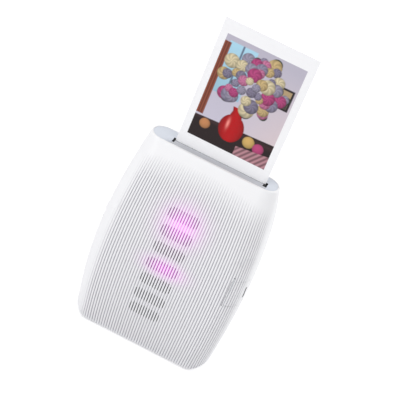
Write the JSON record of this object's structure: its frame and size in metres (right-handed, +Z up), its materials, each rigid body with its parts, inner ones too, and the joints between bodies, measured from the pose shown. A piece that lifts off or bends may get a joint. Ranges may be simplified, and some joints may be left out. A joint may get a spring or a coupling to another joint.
{
  "type": "compact photo printer",
  "caption": "Pocket photo printer with a ribbed pillow-shaped casing, flat end cap with a film exit slot, film door, port cover and a print part way out.",
  "frame": {"origin": "middle of the base, on the surface it stands on", "axes": "+Z up, the way the print comes out; -Y the ribbed front; +X the side with the charging port"},
  "size_m": [0.09, 0.0373, 0.202],
  "materials": {
    "casing_white": "satin moulded ABS",
    "cap_blue_grey": "fine matt moulded ABS",
    "frame_black": "moulded ABS",
    "pack_black": "moulded polystyrene",
    "steel": "drawn",
    "spring_steel": "drawn",
    "gear_white": "moulded acetal",
    "motor_can": "satin plated",
    "board_green": "solder mask",
    "chip_black": "moulded epoxy",
    "battery_wrap": "foil pouch",
    "foam_grey": "foam",
    "felt_black": "felt",
    "head_black": "moulded",
    "lens_clear": "polished",
    "flex_amber": "polyimide film",
    "diffuser": "milky acrylic",
    "led_magenta": "lit",
    "film_paper": "coated film sheet",
    "socket_steel": "stamped"
  },
  "bodies": {
    "casing": {"front_shell": "casing_white", "rear_shell": "casing_white", "top_cap": "cap_blue_grey", "port_cover_pin": "steel", "door_hinge_pins": "steel", "slot_seals": "felt_black", "main_frame": "frame_black", "roller_bracket": "steel", "roller_bushes": "gear_white", "roller_springs": "spring_steel", "drive_motor": "motor_can", "motor_strap": "frame_black", "gear_posts": "steel", "film_pack_case": "pack_black", "film_stack": "film_paper", "pack_spring": "spring_steel", "picker_pins": "steel", "picker_spring": "spring_steel", "exposure_head": "head_black", "head_lens": "lens_clear", "film_guide": "frame_black", "head_flex": "flex_amber", "main_board": "board_green", "board_chips": "chip_black", "radio_shield": "socket_steel", "charging_port": "socket_steel", "charging_port_tongue": "chip_black", "reset_switch": "chip_black", "power_switch": "chip_black", "button_board": "board_green", "battery": "battery_wrap", "battery_pad": "foam_grey", "light_board": "board_green", "light_leds": "led_magenta", "light_guide": "diffuser", "light_board_spacers": "steel", "frame_screws": "steel", "board_screws": "steel", "case_screws": "steel"},
    "film_door": {"film_door": "casing_white", "pressure_pads": "frame_black", "pad_springs": "spring_steel"},
    "door_latch": {"door_latch": "casing_white"},
    "port_cover": {"port_cover": "casing_white"},
    "power_button": {"power_button": "casing_white"},
    "reset_button": {"reset_button": "frame_black"},
    "print_sheet": {"print_sheet": "film_paper"},
    "front_roller": {"front_roller": "steel", "front_roller_gear": "gear_white"},
    "rear_roller": {"rear_roller": "steel", "rear_roller_gear": "gear_white"},
    "idler_gear": {"idler_gear": "gear_white"},
    "reduction_gear": {"reduction_gear": "gear_white"},
    "motor_pinion": {"motor_pinion": "gear_white", "motor_shaft": "steel"},
    "picker_claw": {"picker_claw": "steel"}
  },
  "joints": [
    {"name": "film_door_hinge", "type": "hinge", "parent": "casing", "child": "film_door", "pos_m": [-0.0335, 0.01715, 0.06], "axis": [0, 0, 1], "range_deg": [0, 90]},
    {"name": "door_latch_slide", "type": "slide", "parent": "film_door", "child": "door_latch", "axis": [1, 0, 0], "range_m": [0, 0.0018]},
    {"name": "port_cover_hinge", "type": "hinge", "parent": "casing", "child": "port_cover", "pos_m": [0.0374, -0.01665, 0.063], "axis": [0, 0, -1], "range_deg": [0, 90]},
    {"name": "power_button_press", "type": "slide", "parent": "casing", "child": "power_button", "axis": [1, 0, 0], "range_m": [0, 0.0006], "stiffness_N_per_m": 400, "springref_m": -0.0008},
    {"name": "reset_button_press", "type": "slide", "parent": "casing", "child": "reset_button", "axis": [-1, 0, 0], "range_m": [0, 0.0003], "stiffness_N_per_m": 300, "springref_m": -0.0004},
    {"name": "print_eject", "type": "slide", "parent": "casing", "child": "print_sheet", "axis": [0, 0, 1], "range_m": [-0.106, 0.01]},
    {"name": "front_roller_spin", "type": "hinge", "parent": "casing", "child": "front_roller", "pos_m": [0, -0.0036, 0.118], "axis": [1, 0, 0], "range_deg": [-2181.3, 216.9]},
    {"name": "rear_roller_spin", "type": "hinge", "parent": "casing", "child": "rear_roller", "pos_m": [0, 0.0024, 0.118], "axis": [1, 0, 0], "range_deg": [-216.9, 2181.3]},
    {"name": "idler_spin", "type": "hinge", "parent": "casing", "child": "idler_gear", "pos_m": [0, -0.0026, 0.10906], "axis": [1, 0, 0], "range_deg": [-108.5, 1090.7]},
    {"name": "reduction_spin", "type": "hinge", "parent": "casing", "child": "reduction_gear", "pos_m": [0, -0.001, 0.10081], "axis": [1, 0, 0], "range_deg": [-2726.7, 271.1]},
    {"name": "pinion_spin", "type": "hinge", "parent": "casing", "child": "motor_pinion", "pos_m": [0, -0.0081, 0.09435], "axis": [1, 0, 0], "range_deg": [-813.4, 8180]},
    {"name": "picker_slide", "type": "slide", "parent": "casing", "child": "picker_claw", "axis": [0, 0, 1], "range_m": [0, 0.006], "stiffness_N_per_m": 40, "springref_m": -0.004, "deforming": ["picker_spring"]}
  ],
  "couplings": [
    {"joint": "front_roller_spin", "follows": "print_eject", "rad_per_m": 357.14},
    {"joint": "rear_roller_spin", "follows": "print_eject", "rad_per_m": -357.14},
    {"joint": "idler_spin", "follows": "print_eject", "rad_per_m": -178.57},
    {"joint": "reduction_spin", "follows": "print_eject", "rad_per_m": 446.43},
    {"joint": "pinion_spin", "follows": "print_eject", "rad_per_m": -1339.3}
  ]
}
